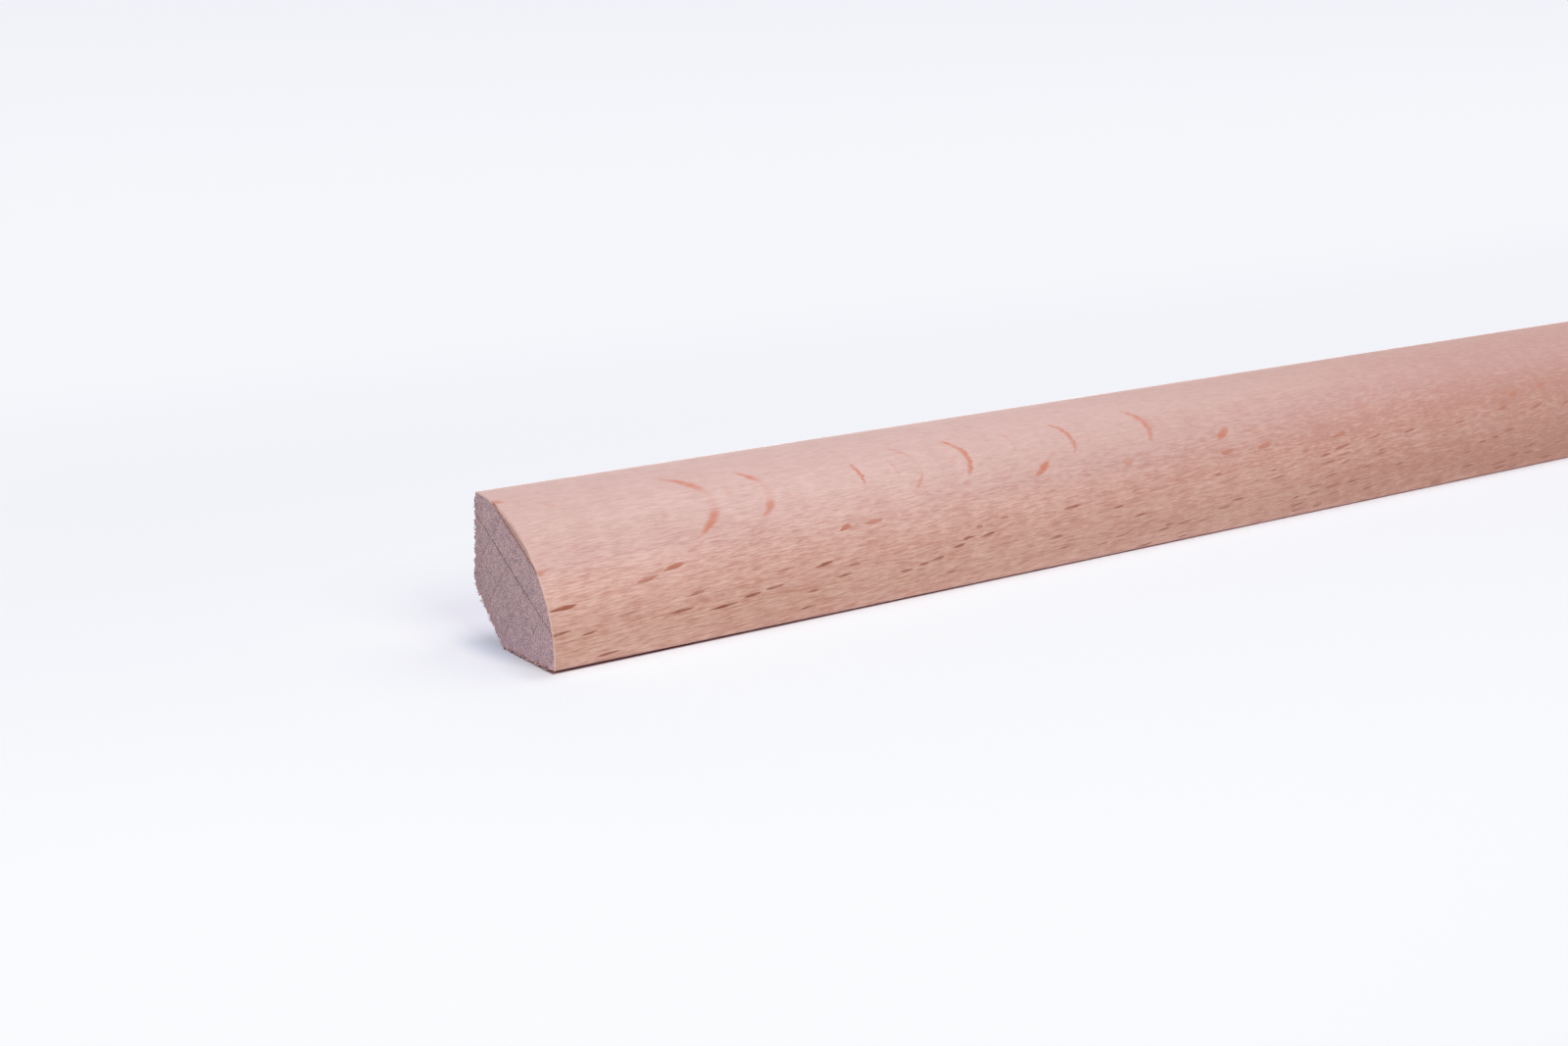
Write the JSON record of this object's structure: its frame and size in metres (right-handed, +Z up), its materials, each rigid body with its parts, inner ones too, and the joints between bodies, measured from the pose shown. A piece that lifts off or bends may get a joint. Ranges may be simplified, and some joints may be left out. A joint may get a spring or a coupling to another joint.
{
  "type": "quarter round moulding",
  "caption": "Straight stick of planed beech moulding with a quarter round face, two flats at a right angle and a relieved back corner, for covering the joint between a floor and a wall.",
  "frame": {"origin": "under the middle of the stick, on the floor, at the centre of the rectangle that the section fills", "axes": "+X along the length, from the sawn end shown in the picture to the other end; +Y to the wall; +Z up. The rounded face looks to -Y and +Z"},
  "size_m": [1, 0.014, 0.014],
  "materials": {
    "planed_beech": "satin"
  },
  "bodies": {
    "root": {"quarter_round_moulding": "planed_beech"}
  },
  "joints": []
}
